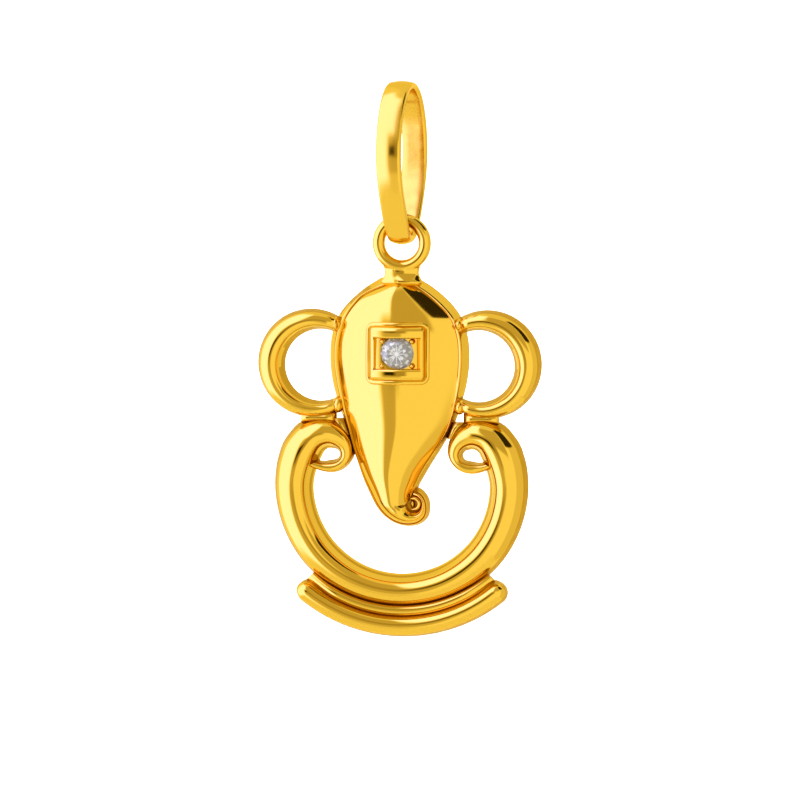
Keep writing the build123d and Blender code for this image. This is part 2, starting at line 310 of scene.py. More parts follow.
class PendantSizes(bpy.types.PropertyGroup):
    """Sizes of the pendant that a maker would change."""

    back: bpy.props.FloatProperty(
        name="Back", description="Distance of the flat back behind the loop's middle",
        default=0.66 * MM, unit="LENGTH",
    )
    wall: bpy.props.FloatProperty(
        name="Wall", description="Height of the upright walls under the crowns",
        default=0.72 * MM, unit="LENGTH",
    )
    plate: bpy.props.FloatProperty(
        name="Plate", description="Thickness of the head's plate", default=0.75 * MM, unit="LENGTH",
    )
    lean: bpy.props.FloatProperty(
        name="Lean", description="How far a wall leans in from its foot to its top",
        default=0.19 * MM, unit="LENGTH",
    )
    crown: bpy.props.FloatProperty(
        name="Crown", description="Rise of a tube's crown for each unit of its half width",
        default=0.76, min=0.1,
    )
    loop_wire: bpy.props.FloatProperty(
        name="Loop wire", description="Thickness of the top loop's wire", default=0.62 * MM, unit="LENGTH",
    )
    loop_radius: bpy.props.FloatProperty(
        name="Loop radius", description="Radius of the top loop to the middle of its wire",
        default=1.145 * MM, unit="LENGTH",
    )
    bail_width: bpy.props.FloatProperty(
        name="Bail band width", description="Width of the bail's band", default=1.27 * MM, unit="LENGTH",
    )
    bail_thickness: bpy.props.FloatProperty(
        name="Bail band thickness", description="Thickness of the bail's band at its top",
        default=0.418 * MM, unit="LENGTH",
    )
    bail_depth: bpy.props.FloatProperty(
        name="Bail depth", description="Depth of the bail from front to back",
        default=4.85 * MM, unit="LENGTH",
    )
    bail_turn: bpy.props.FloatProperty(
        name="Bail turn", description="How far the bail hangs turned about the upright axis",
        default=radians(-10.4), subtype="ANGLE",
    )
    stone: bpy.props.FloatProperty(
        name="Stone", description="Diameter of the round stone", default=1.65 * MM, unit="LENGTH",
    )


class PendantColours(bpy.types.PropertyGroup):
    """Colours of the pendant and of its studio."""

    gold: bpy.props.FloatVectorProperty(
        name="Gold", description="Colour of the polished gold", subtype="COLOR", size=3,
        default=(0.757, 0.456, 0.042), min=0.0, max=1.0,
    )
    # Darker than the gold: painted shade on side walls, on faces that look back and in hollows
    shaded_wall_gold: bpy.props.FloatVectorProperty(
        name="Wall gold", description="Colour of the duller side walls", subtype="COLOR", size=3,
        default=(0.52, 0.275, 0.016), min=0.0, max=1.0,
    )
    # Light colour of the stone where its reflections are painted in
    stone: bpy.props.FloatVectorProperty(
        name="Stone", description="Colour of the stone", subtype="COLOR", size=3,
        default=(0.7, 0.7, 0.72), min=0.0, max=1.0,
    )
    floor: bpy.props.FloatVectorProperty(
        name="Floor", description="Colour of the floor", subtype="COLOR", size=3,
        default=(0.86, 0.86, 0.86), min=0.0, max=1.0,
    )


# Small tools of the workshop


def sizes():
    """The sizes as they stand."""
    return bpy.context.scene.pendant_sizes


def colours():
    """The colours as they stand."""
    return bpy.context.scene.pendant_colours


def let_go():
    """Leaves edit mode and deselects everything."""
    if bpy.context.object and bpy.context.object.mode != "OBJECT":
        bpy.ops.object.mode_set(mode="OBJECT")
    bpy.ops.object.select_all(action="DESELECT")


def take(obj):
    """Makes one object the selected and active one."""
    let_go()
    obj.select_set(True)
    bpy.context.view_layer.objects.active = obj
    return obj


def turns(count):
    """Directions all the way round, in radians."""
    return [2 * pi * step / count for step in range(count)]


def ease(share):
    """A share from 0 to 1 with a soft start and end."""
    share = min(1.0, max(0.0, share))
    return share * share * (3 - 2 * share)


def spot(x, height, z):
    """The place at a point across, a height over the flat back and a level, all in millimetres."""
    return Vector((x * MM, (sizes().back / MM - height) * MM, z * MM))


def smooth_between(sections, step):
    """Sections between the given ones, on smooth curves through their points, about one step apart."""
    middles = [sum(ring, Vector()) / len(ring) for ring in sections]
    spans = [
        max((middles[i + 1] - middles[i]).length, (sections[i + 1][-1] - sections[i][-1]).length, 1e-7)
        for i in range(len(sections) - 1)
    ]

    def slope(i, k):
        """How fast one point of a section moves on to the next section."""
        here = sections[i][k]
        if i == 0:
            return (sections[1][k] - here) / spans[0]
        if i == len(sections) - 1:
            return (here - sections[i - 1][k]) / spans[-1]
        before = (here - sections[i - 1][k]) / spans[i - 1]
        after = (sections[i + 1][k] - here) / spans[i]
        return (before * spans[i] + after * spans[i - 1]) / (spans[i] + spans[i - 1])

    count = len(sections[0])
    slopes = [[slope(i, k) for k in range(count)] for i in range(len(sections))]
    rings = []
    for i, span in enumerate(spans):
        cuts = max(1, round(span / step))
        for cut in range(cuts):
            t = cut / cuts
            a, b = 2 * t**3 - 3 * t**2 + 1, t**3 - 2 * t**2 + t
            c, d = -2 * t**3 + 3 * t**2, t**3 - t**2
            rings.append([
                a * sections[i][k] + b * span * slopes[i][k]
                + c * sections[i + 1][k] + d * span * slopes[i + 1][k]
                for k in range(count)
            ])
    rings.append(sections[-1])
    return rings


def sweep(name, rings, closed=False):
    """A solid drawn out from ring to ring: a circle's edges are extruded to each next ring."""
    let_go()
    count = len(rings[0])
    bpy.ops.mesh.primitive_circle_add(vertices=count, radius=MM, fill_type="NOTHING")
    obj = bpy.context.object
    obj.name = name
    bpy.ops.object.mode_set(mode="EDIT")
    mesh = bmesh.from_edit_mesh(obj.data)
    order = mesh.verts.layers.int.new("order")
    for i, vert in enumerate(mesh.verts):
        vert.co = rings[0][i]
        vert[order] = i
    for ring in rings[1:]:
        bpy.ops.mesh.extrude_region_move()
        mesh = bmesh.from_edit_mesh(obj.data)
        order = mesh.verts.layers.int["order"]
        for vert in mesh.verts:
            if vert.select:
                vert.co = ring[vert[order]]
    if closed:
        mesh.verts.ensure_lookup_table()
        last = {v[order]: v for v in mesh.verts if v.select}
        first = {v[order]: v for v in list(mesh.verts)[:count]}
        for i in range(count):
            j = (i + 1) % count
            mesh.faces.new((last[i], last[j], first[j], first[i]))
        bmesh.update_edit_mesh(obj.data)
    else:
        bpy.ops.mesh.edge_face_add()
        bpy.ops.mesh.select_all(action="DESELECT")
        bpy.ops.mesh.select_mode(type="EDGE")
        bpy.ops.mesh.select_non_manifold(
            extend=False, use_wire=False, use_boundary=True, use_multi_face=False, use_non_contiguous=False,
            use_verts=False,
        )
        bpy.ops.mesh.edge_face_add()
    bpy.ops.mesh.select_mode(type="VERT")
    bpy.ops.mesh.select_all(action="SELECT")
    bpy.ops.mesh.normals_make_consistent(inside=False)
    bpy.ops.object.mode_set(mode="OBJECT")
    return obj


def on_ray(centre, angle, profile):
    """Points of a profile (reach, height over the back) on the ray from a centre."""
    a = radians(angle)
    return [spot(centre[0] + reach * cos(a), height, centre[1] + reach * sin(a)) for reach, height in profile]


def on_level(z, profile):
    """Points of a profile (across from the head's middle, height over the back) at one level."""
    return [spot(HEAD_X + x, height, z) for x, height in profile]


def dome_level(x, drop):
    """Height of the dome over the back, at a place across and a drop from the head's top."""
    fullness = (DOME_LEFT + DOME_RIGHT) / 2
    for upper, lower in zip(HEAD_ROWS, HEAD_ROWS[1:]):
        if upper[0] <= drop <= lower[0]:
            share = (drop - upper[0]) / (lower[0] - upper[0])
            crown_left, crown_right, rise = (a + (b - a) * share for a, b in zip(upper[3:], lower[3:]))
            middle, half = (crown_right - crown_left) / 2, (crown_right + crown_left) / 2
            t = min(1.0, abs(x - HEAD_X - middle) / half)
            return sizes().plate / MM - GROOVE + (rise + GROOVE) * (1 - t**2) ** fullness
    raise ValueError("no dome at a drop of %.2f mm" % drop)


def tube_profile(inner, outer, sunk=0.0):
    """Section of a half-round tube: flat back, leaning walls and a round crown."""
    s = sizes()
    wall, width = s.wall / MM, outer - inner
    lean = min(s.lean / MM, 0.13 * width)
    half = width / 2 - lean
    rise = s.crown * half
    radius = (half**2 + rise**2) / (2 * rise)
    reach = atan2(half, radius - rise)
    middle = (inner + outer) / 2
    foot = min(0.06, 0.1 * width)
    left = [
        (inner + foot, 0.0), (inner + foot / 3, foot / 4), (inner, foot), (inner + lean * 0.3, wall * 0.36),
        (inner + lean * 0.62, wall * 0.68),
    ]
    flare = min(0.07, 0.06 * width)
    arc = []
    for step in range(-14, 15):
        t = reach * step / 14
        across = radius * sin(t)
        # The crest lies a little towards the inside of the ring
        inward = CREST_SHIFT * half * (1 - (across / half) ** 2)
        arc.append((middle + across - inward, wall + radius * cos(t) - radius + rise))
    right = [(2 * middle - r, h) for r, h in reversed(left)]
    back = [(middle + width * share, 0.0) for share in (0.25, 0.0, -0.25)]
    # The inside wall spreads a little towards the back
    left = [(r - flare * max(0.0, 1 - h / wall), h) for r, h in left]
    return [(r, max(h, sunk)) for r, h in left + arc + right + back]


def finish_piece(obj, body, node, metals):
    """Smooths a piece, gives it its metals and fastens it to its body."""
    take(obj)
    bpy.ops.object.shade_smooth_by_angle(angle=radians(32))
    obj.data.materials.clear()
    for finish in metals:
        obj.data.materials.append(finish)
    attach(obj, body)
    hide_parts(node)


def finish_body(obj, walls=0.0, steep=0.35):
    """Finishes a piece of the pendant's body, with dull walls in painted shade up to a height if one is
    given.
    """
    metals = [polished_gold(), shaded_wall_gold()] if walls else [polished_gold()]
    finish_piece(obj, "pendant", "pendant_body", metals)
    if walls:
        dull_shaded_walls(obj, walls * MM, steep)


def dull_shaded_walls(obj, top, steep=0.35):
    """Puts the second metal, painted darker as shade, on faces upright or looking back below a height over
    the back.
    """
    back = sizes().back
    second_metal(obj, lambda face: back - face.calc_center_median().y < top and -face.normal.y < steep)


def second_metal(obj, wanted):
    """Puts the second metal on the wanted faces."""
    take(obj)
    obj.active_material_index = 1
    bpy.ops.object.mode_set(mode="EDIT")
    bpy.ops.mesh.select_mode(type="FACE")
    bpy.ops.mesh.select_all(action="DESELECT")
    mesh = bmesh.from_edit_mesh(obj.data)
    for face in mesh.faces:
        if wanted(face):
            face.select_set(True)
    bmesh.update_edit_mesh(obj.data)
    bpy.ops.object.material_slot_assign()
    bpy.ops.mesh.select_mode(type="VERT")
    bpy.ops.object.mode_set(mode="OBJECT")


# Finishes


def hand_polish():
    """Node group: the soft unevenness that a polishing wheel leaves."""
    group = bpy.data.node_groups.get("hand_polish")
    if group:
        return group
    group = bpy.data.node_groups.new("hand_polish", "ShaderNodeTree")
    face = group.interface
    face.new_socket(name="Scale", in_out="INPUT", socket_type="NodeSocketFloat").default_value = 600.0
    face.new_socket(name="Least", in_out="INPUT", socket_type="NodeSocketFloat").default_value = 0.06
    face.new_socket(name="Most", in_out="INPUT", socket_type="NodeSocketFloat").default_value = 0.14
    face.new_socket(name="Roughness", in_out="OUTPUT", socket_type="NodeSocketFloat")
    face.new_socket(name="Height", in_out="OUTPUT", socket_type="NodeSocketFloat")
    nodes, links = group.nodes, group.links
    entry, leave = nodes.new("NodeGroupInput"), nodes.new("NodeGroupOutput")
    place = nodes.new("ShaderNodeTexCoord")
    noise = nodes.new("ShaderNodeTexNoise")
    noise.inputs["Detail"].default_value = 3.0
    links.new(place.outputs["Object"], noise.inputs["Vector"])
    links.new(entry.outputs["Scale"], noise.inputs["Scale"])
    spread = nodes.new("ShaderNodeMapRange")
    spread.inputs["From Min"].default_value = 0.3
    spread.inputs["From Max"].default_value = 0.7
    links.new(noise.outputs["Fac"], spread.inputs["Value"])
    links.new(entry.outputs["Least"], spread.inputs["To Min"])
    links.new(entry.outputs["Most"], spread.inputs["To Max"])
    links.new(spread.outputs["Result"], leave.inputs["Roughness"])
    links.new(noise.outputs["Fac"], leave.inputs["Height"])
    return group


def metal(name, colour, least, most, scale, bump):
    """A gold with hand-polished unevenness in its gloss and surface."""
    made = bpy.data.materials.get(name)
    if made:
        return made
    made = bpy.data.materials.new(name)
    made.use_nodes = True
    nodes, links = made.node_tree.nodes, made.node_tree.links
    shader = nodes["Principled BSDF"]
    shader.inputs["Base Color"].default_value = (*colour, 1.0)
    shader.inputs["Metallic"].default_value = 1.0
    shader.inputs["Specular Tint"].default_value = (1.0, 0.85, 0.5, 1.0)
    polish = nodes.new("ShaderNodeGroup")
    polish.node_tree = hand_polish()
    polish.inputs["Scale"].default_value = scale
    polish.inputs["Least"].default_value = least
    polish.inputs["Most"].default_value = most
    links.new(polish.outputs["Roughness"], shader.inputs["Roughness"])
    relief = nodes.new("ShaderNodeBump")
    relief.inputs["Strength"].default_value = bump
    relief.inputs["Distance"].default_value = 0.01 * MM
    links.new(polish.outputs["Height"], relief.inputs["Height"])
    links.new(relief.outputs["Normal"], shader.inputs["Normal"])
    return made


def polished_gold():
    """Mirror polish of the body's front."""
    return metal("polished_gold", colours().gold, least=0.05, most=0.11, scale=700.0, bump=0.05)


def shaded_wall_gold():
    """Duller side walls, which the polishing wheel hardly reaches; their darker colour is painted shade."""
    return metal("shaded_wall_gold", colours().shaded_wall_gold, least=0.28, most=0.42, scale=2500.0, bump=0.25)


def satin_gold():
    """Softer polish of the bail's outside."""
    return metal("satin_gold", colours().gold, least=0.13, most=0.2, scale=700.0, bump=0.05)


def rough_gold():
    """Rougher inside of the bail."""
    return metal("rough_gold", colours().gold, least=0.16, most=0.34, scale=1800.0, bump=0.6)


def worked(tree, operation, first, second=None):
    """One sum on one or two sockets or numbers."""
    node = tree.nodes.new("ShaderNodeMath")
    node.operation = operation
    for socket, value in zip(node.inputs, (first, second)):
        if isinstance(value, (int, float)):
            socket.default_value = value
        elif value is not None:
            tree.links.new(value, socket)
    return node.outputs[0]


def ramp(tree, value, none, full, shape="SMOOTHSTEP"):
    """From none to all between two values."""
    node = tree.nodes.new("ShaderNodeMapRange")
    node.interpolation_type = shape
    node.inputs["From Min"].default_value = none
    node.inputs["From Max"].default_value = full
    tree.links.new(value, node.inputs["Value"])
    return node.outputs["Result"]


def mixed(tree, share, first, second):
    """A colour between two, each a socket or a colour. A mix node takes its colours at inputs 6 and 7."""
    node = tree.nodes.new("ShaderNodeMix")
    node.data_type = "RGBA"
    tree.links.new(share, node.inputs[0])
    for socket, colour in ((node.inputs[6], first), (node.inputs[7], second)):
        if isinstance(colour, tuple):
            socket.default_value = colour
        else:
            tree.links.new(colour, socket)
    return node.outputs[2]


def stone_glass():
    """Clear stone with painted reflections: grey patches, white ones among them, and fine white lines under
    the table.
    """
    made = bpy.data.materials.get("clear_stone")
    if made:
        return made
    made = bpy.data.materials.new("clear_stone")
    made.use_nodes = True
    tree = made.node_tree
    nodes, links = tree.nodes, tree.links
    shader = nodes["Principled BSDF"]
    shader.inputs["Roughness"].default_value = 0.05
    shader.inputs["IOR"].default_value = 1.7
    shader.inputs["Specular Tint"].default_value = (1.0, 1.0, 0.4, 1.0)
    place = nodes.new("ShaderNodeTexCoord")
    parts = nodes.new("ShaderNodeSeparateXYZ")
    links.new(place.outputs["Object"], parts.inputs["Vector"])
    # Place on the stone, with its radius as 1
    radius = sizes().stone / 2
    x = worked(tree, "DIVIDE", parts.outputs["X"], radius)
    z = worked(tree, "DIVIDE", worked(tree, "SUBTRACT", parts.outputs["Z"], SETTING_Z * MM), radius)
    square = worked(tree, "ADD", worked(tree, "MULTIPLY", x, x), worked(tree, "MULTIPLY", z, z))
    reach = worked(tree, "SQRT", square)
    angle = worked(tree, "ARCTAN2", z, x)
    # Painted reflections: white lines where the facets at the back meet, seen through the table
    wave = worked(tree, "ABSOLUTE", worked(tree, "SINE", worked(tree, "MULTIPLY", angle, 6.0)))
    near_painted_line = ramp(tree, worked(tree, "MULTIPLY", wave, reach), 0.2, 0.03)
    lines = worked(tree, "MULTIPLY", near_painted_line, ramp(tree, reach, 0.8, 0.35))
    # A painted white glint at the middle
    painted_core_glint = ramp(tree, reach, 0.13, 0.0)
    # Painted glints: random patches painted white as if facets caught the light
    glint_cells = nodes.new("ShaderNodeTexVoronoi")
    glint_cells.inputs["Scale"].default_value = 7500.0
    links.new(place.outputs["Object"], glint_cells.inputs["Vector"])
    grey = nodes.new("ShaderNodeSeparateColor")
    links.new(glint_cells.outputs["Color"], grey.inputs["Color"])
    painted_glints = worked(tree, "POWER", grey.outputs["Red"], 3.0)
    # Painted reflection: where lines, middle glint or glints are painted the stone takes its light colour,
    # elsewhere a dark grey that is painted too
    white = worked(tree, "MAXIMUM", worked(tree, "MAXIMUM", lines, painted_core_glint), painted_glints)
    colour = mixed(tree, white, (0.24, 0.23, 0.24, 1.0), (*colours().stone, 1.0))
    links.new(colour, shader.inputs["Base Color"])
    return made


# Pieces


class PENDANT_OT_bail(bpy.types.Operator):
    """The oval band bail: a rounded band swept round its side view"""

    bl_idname = "pendant.bail"
    bl_label = "Bail"

    def outline(self, half, top, foot_radius, foot_base, shoulder):
        """Outline in the side view: round top, long curved sides and a small round foot."""
        lean = radians(BAIL_FOOT_LEAN)
        foot = Vector((-foot_radius * cos(lean), foot_base + foot_radius * (1 - sin(lean))))
        points = []
        for step in range(60):
            t = pi * step / 60
            points.append((half * cos(t), shoulder + top * sin(t)))
        corners = (
            Vector((-half, shoulder)), Vector((-half, shoulder - BAIL_SIDE_PULL)),
            foot + Vector((-sin(lean), cos(lean))) * BAIL_SIDE_PULL, foot,
        )
        left = []
        for step in range(30):
            t = step / 30
            a, b, c, d = (1 - t) ** 3, 3 * t * (1 - t) ** 2, 3 * t**2 * (1 - t), t**3
            place = a * corners[0] + b * corners[1] + c * corners[2] + d * corners[3]
            left.append((place.x, place.y))
        points += left
        for step in range(37):
            t = pi + lean + (pi - 2 * lean) * step / 36
            points.append((foot_radius * cos(t), foot_base + foot_radius + foot_radius * sin(t)))
        return points + [(-y, z) for y, z in reversed(left[1:])]

    def section(self, half, thickness):
        """Section of the band, across and outwards: plain inside, crowned outside, small round rims."""
        flat = half - BAIL_EDGE
        rim = [
            (BAIL_EDGE * sin(radians(turn)), BAIL_EDGE * (1 - cos(radians(turn))))
            for turn in (0.0, 22.5, 45.0, 67.5, 90.0)
        ]
        drop = thickness - BAIL_SWELL * (flat / half) ** 2
        points = []
        for step in range(9):
            u = -flat + 2 * flat * step / 8
            points.append((u, thickness - BAIL_SWELL * (u / half) ** 2))
        points += [(flat + out, drop - down) for out, down in rim[1:]]
        points += [(flat + out, down) for out, down in reversed(rim[:-1])]
        points += [(flat - 2 * flat * step / 4, 0.0) for step in range(1, 5)]
        points += [(-flat - out, down) for out, down in rim[1:]]
        points += [(-flat - out, drop - down) for out, down in reversed(rim[1:-1])]
        return points

    def width_share(self, z, half):
        """Share of its half width that the band keeps at a height over its foot."""
        share = 1 - BAIL_NARROWING * (1 - ease(z / BAIL_NARROWING_TOP))
        if z < BAIL_CORNER:
            drop = BAIL_CORNER - max(z, 0.0)
            share *= 1 - (BAIL_CORNER - sqrt(BAIL_CORNER**2 - drop**2)) / half
        return share

    def execute(self, context):
        s = sizes()
        half, thickness, depth = s.bail_width / MM / 2, s.bail_thickness / MM, s.bail_depth / MM
        turn = s.bail_turn
        base = -BAIL_INSIDE - BAIL_FOOT_THICKNESS
        top = depth / 2 + BAIL_TOP_STRETCH
        shoulder = BAIL_INSIDE + thickness + BAIL_FOOT_THICKNESS - top
        outer = self.outline(depth / 2, top, BAIL_FOOT_RADIUS, 0.0, shoulder)
        inner = self.outline(
            depth / 2 - thickness, top - thickness, BAIL_FOOT_INNER_RADIUS, BAIL_FOOT_THICKNESS, shoulder,
        )
        rings = []
        for (outer_y, outer_z), (inner_y, inner_z) in zip(outer, inner):
            out = Vector((outer_y - inner_y, outer_z - inner_z))
            length = out.length
            out.normalize()
            ring = []
            for u, h in self.section(half, length):
                y, z = inner_y + out.x * h, inner_z + out.y * h
                u *= self.width_share(z, half)
                ring.append(Vector((
                    (BAIL_X + u * cos(turn) - y * sin(turn)) * MM,
                    (u * sin(turn) + y * cos(turn)) * MM,
                    (base + z) * MM,
                )))
            rings.append(ring)
        band = sweep("bail_band", rings, closed=True)
        finish_piece(band, "bail", "bail", [satin_gold(), rough_gold()])
        middle = Vector((BAIL_X * MM, 0.0, (base + BAIL_MIDDLE) * MM))
        second_metal(band, lambda face: face.normal.dot(face.calc_center_median() - middle) < -0.6 * MM)
        return {"FINISHED"}


class PENDANT_OT_head(bpy.types.Operator):
    """The elephant's head: rim, dome and trunk drawn out in one, down to the tip of the curl"""

    bl_idname = "pendant.head"
    bl_label = "Head"

    def rim(self, outline, crown, plate):
        """From the outline up to the groove that runs round the dome."""
        rows = (
            (0.0, 0.02), (0.04, 0.1), (0.3, 0.5 * plate), (0.6, plate - 0.12), (0.7, plate - 0.05),
            (0.79, plate - 0.03), (0.88, plate - 0.04), (0.95, plate - 0.06),
        )
        return [(outline + share * (crown - outline), height) for share, height in rows]

    def profile(self, start, crown_start, crown_end, end, rise, lip=0.0):
        """Across the head: flat back, leaning wall, a fine round rim, a groove and the dome."""
        plate = sizes().plate / MM
        groove = plate - GROOVE
        left = self.rim(start, crown_start, plate)
        right = self.rim(end, crown_end, plate)
        middle, half = (crown_start + crown_end) / 2, (crown_end - crown_start) / 2
        dome = []
        for step in range(1, 36):
            t = -cos(pi * step / 36)
            swell = (rise + GROOVE) * (1 - t**2) ** (DOME_LEFT if t < 0 else DOME_RIGHT)
            height = groove + swell + lip * ((1 + t) / 2) ** 3
            dome.append((middle + half * (t - DOME_SHIFT * (1 - t**2)), height))
        back = [(end + (start - end) * share, 0.0) for share in (0.03, 0.25, 0.5, 0.75, 0.97)]
        return left + [(crown_start, groove)] + dome + [(crown_end, groove + lip)] + right[::-1] + back

    def execute(self, context):
        sections = []
        for drop, left, right, crown_left, crown_right, rise in HEAD_ROWS:
            profile = self.profile(-left, -crown_left, crown_right, right, rise)
            sections.append(on_level(HEAD_TOP - drop, profile))
        for angle, reach, crown, eye, rise, lip in CURL_ROWS:
            profile = self.profile(-reach, -crown, -eye - 0.03, -eye, rise, lip)
            sections.append(on_ray((EYE_X, EYE_Z), angle - 180, profile))
        finish_body(sweep("head", smooth_between(sections, 0.12 * MM)), LOW_WALLS)
        return {"FINISHED"}


class PENDANT_OT_ears(bpy.types.Operator):
    """The two ears: half-round rings, widest at their outer side"""

    bl_idname = "pendant.ears"
    bl_label = "Ears"

    def ear(self, side, name):
        """One ear, swept round its hole."""
        shift = EAR_SIDE_WIDTH + EAR_HOLE - EAR_RADIUS
        centre = (HEAD_X + side * (EAR_REACH - EAR_SIDE_WIDTH - EAR_HOLE), EAR_Z - EAR_HOLE_DROP)
        rings = []
        for angle in range(-EAR_END, EAR_END + 1, 3):
            along = shift * cos(radians(angle)) + EAR_HOLE_DROP * sin(radians(angle))
            across = shift**2 + EAR_HOLE_DROP**2 - along**2
            outer = along + sqrt(EAR_RADIUS**2 - across)
            low = 1 - EAR_DIP * ease((abs(angle) - EAR_DIP_START) / EAR_DIP_SPAN)
            profile = [(r, h * low) for r, h in tube_profile(EAR_HOLE, outer, RING_SUNK)]
            rings.append(on_ray(centre, angle if side > 0 else 180 - angle, profile))
        finish_body(sweep(name, rings), TUBE_WALLS)

    def execute(self, context):
        self.ear(-1, "ear_left")
        self.ear(1, "ear_right")
        return {"FINISHED"}


class PENDANT_OT_arms(bpy.types.Operator):
    """The ring of the two arms with a scroll at each end"""

    bl_idname = "pendant.arms"
    bl_label = "Arms"

    def arm(self, side):
        """Sections of one arm from the bottom of the ring to the tip of its scroll."""
        sections = []
        for turn, inner, outer in ARM_ROWS:
            angle = -90 + turn if side > 0 else 270 - turn
            sections.append(on_ray((0.0, ARM_Z), angle, tube_profile(inner, outer, ARM_SUNK)))
        start = degrees(atan2(SCROLL_RISE, SCROLL_X))
        for turn, inner, outer in SCROLL_ROWS:
            angle = start + turn if side > 0 else 180 - start - turn
            profile = tube_profile(inner, outer, TIP_SUNK if turn > SCROLL_TIP else ARM_SUNK)
            sections.append(on_ray((side * SCROLL_X, ARM_Z + SCROLL_RISE), angle, profile))
        return sections

    def execute(self, context):
        sections = self.arm(-1)[:0:-1] + self.arm(1)
        finish_body(sweep("arms", smooth_between(sections, 0.13 * MM)), TUBE_WALLS)
        return {"FINISHED"}


class PENDANT_OT_base(bpy.types.Operator):
    """The base bar: a half-round bar with rounded ends"""

    bl_idname = "pendant.base"
    bl_label = "Base bar"

    def execute(self, context):
        reach = degrees(BASE_WIDTH / 2 / BASE_RADIUS)
        ends = [(reach * sin(radians(turn)), cos(radians(turn))) for turn in (83, 74, 64, 54, 44, 33, 22, 11)]
        rows = [(BASE_RIGHT + past, share) for past, share in ends]
        rows += [(BASE_RIGHT * step / 12, 1.0) for step in range(12, 0, -1)]
        rows += [(BASE_LEFT * step / 12, 1.0) for step in range(0, -13, -1)]
        rows += [(-BASE_LEFT - past, share) for past, share in reversed(ends)]
        rings = []
        for angle, share in rows:
            half = BASE_WIDTH / 2 * share
            # The rounded ends get lower as they get narrower
            low = 1 - 0.5 * (1 - share) ** 2
            profile = tube_profile(BASE_RADIUS - half, BASE_RADIUS + half, RING_SUNK)
            rings.append(on_ray((0.0, BASE_Z), angle - 90, [(r, h * low) for r, h in profile]))
        finish_body(sweep("base_bar", rings), TUBE_WALLS)
        return {"FINISHED"}


class PENDANT_OT_loop(bpy.types.Operator):
    """The top loop and its neck, grown together as cast"""

    bl_idname = "pendant.loop"
    bl_label = "Loop and neck"

    def execute(self, context):
        s = sizes()
        let_go()
        bpy.ops.mesh.primitive_torus_add(
            major_segments=96, minor_segments=32, major_radius=s.loop_radius, minor_radius=s.loop_wire / 2,
            location=(LOOP_X * MM, 0.0, LOOP_Z * MM), rotation=(pi / 2, 0.0, 0.0),
        )
        loop = bpy.context.object
        bpy.ops.object.transform_apply(location=True, rotation=True, scale=True)
        rings = []
        for drop, half, deep, shift in NECK_ROWS:
            ring = []
            for t in turns(24):
                across = LOOP_X + half * cos(t) + shift * max(0.0, -sin(t)) ** 2
                ring.append(Vector((across * MM, (deep * sin(t) + NECK_BACK) * MM, (LOOP_Z - drop) * MM)))
            rings.append(ring)
        take(sweep("neck_blank", rings))
        loop.select_set(True)
        bpy.context.view_layer.objects.active = loop
        bpy.ops.object.join()
        loop.name = "loop_and_neck"
        cast = loop.modifiers.new("cast", "REMESH")
        cast.mode = "VOXEL"
        cast.voxel_size = 0.04 * MM
        bpy.ops.object.modifier_apply(modifier="cast")
        soften = loop.modifiers.new("soften", "SMOOTH")
        soften.factor = 0.5
        soften.iterations = 8
        bpy.ops.object.modifier_apply(modifier="soften")
        finish_body(loop)
        return {"FINISHED"}


class PENDANT_OT_seams(bpy.types.Operator):
    """The solder that joins the ears, the arms, the head and the base bar"""

    bl_idname = "pendant.seams"
    bl_label = "Solder seams"

    def base_seam(self):
        """Seam between the ring of the arms and the base bar, finer and lower towards its ends."""
        rings = []
        for step in range(-38, 39):
            angle = step * 1.185
            reach = 6.175 + 0.13 * (angle / 38) ** 2
            end = max(0.0, abs(angle) - 30) / 15
            half = 0.35 - 0.03 * end
            low = 0.88 - 0.34 * end**1.5
            profile = [(r, h * low) for r, h in tube_profile(reach - half, reach + half, SEAM_SUNK)]
            rings.append(on_ray((0.0, ARM_Z), angle - 90, profile))
        finish_body(sweep("seam_base", rings), LOW_WALLS)

    def ear_seam(self, side, name):
        """Seam between an ear and the arm under it, wider and lower at its ends."""
        middle, half_length, z = side * 4.04 - 0.04, 0.87, EAR_Z - 2.65
        rings = []
        for step in range(-12, 13):
            share = sin(pi / 2 * step / 12)
            half = 0.24 + 0.1 * share**2
            low = 0.86 * (1 - (0.45 if share * side < 0 else 0.25) * share**6)
            x = middle + share * half_length
            rings.append([spot(x, h * low, z + r) for r, h in tube_profile(-half, half, SEAM_SUNK)])
        finish_body(sweep(name, rings), LOW_WALLS)

    def web(self, name, rows):
        """Low solder between a scroll and the head."""
        rings = []
        for z, left, right, low in rows:
            middle, half = (left + right) / 2, (right - left) / 2
            rings.append([spot(middle + r, h * low, z) for r, h in tube_profile(-half, half, SEAM_SUNK)])
        # All faces of the web below that height take the darker wall gold: painted shade in the deep solder
        finish_body(sweep(name, rings), LOW_WALLS, steep=1.1)

    def drop(self, name, x, z, half_x, half_z):
        """Drop of solder where an ear meets the head's rim."""
        foot, rise = 0.45, 0.42
        rings = []
        for step in range(11):
            t = pi / 2 * (step / 10) * 0.99
            rings.append([
                spot(x + half_x * cos(t) * cos(a), foot + rise * sin(t), z + half_z * cos(t) * sin(a))
                for a in turns(20)
            ])
        finish_body(sweep(name, rings))

    def execute(self, context):
        self.base_seam()
        self.ear_seam(-1, "seam_ear_left")
        self.ear_seam(1, "seam_ear_right")
        self.web("solder_web_left", WEB_LEFT)
        self.web("solder_web_right", WEB_RIGHT)
        for number, row in enumerate(SOLDER_DROPS):
            self.drop("solder_drop_%d" % number, *row)
        return {"FINISHED"}


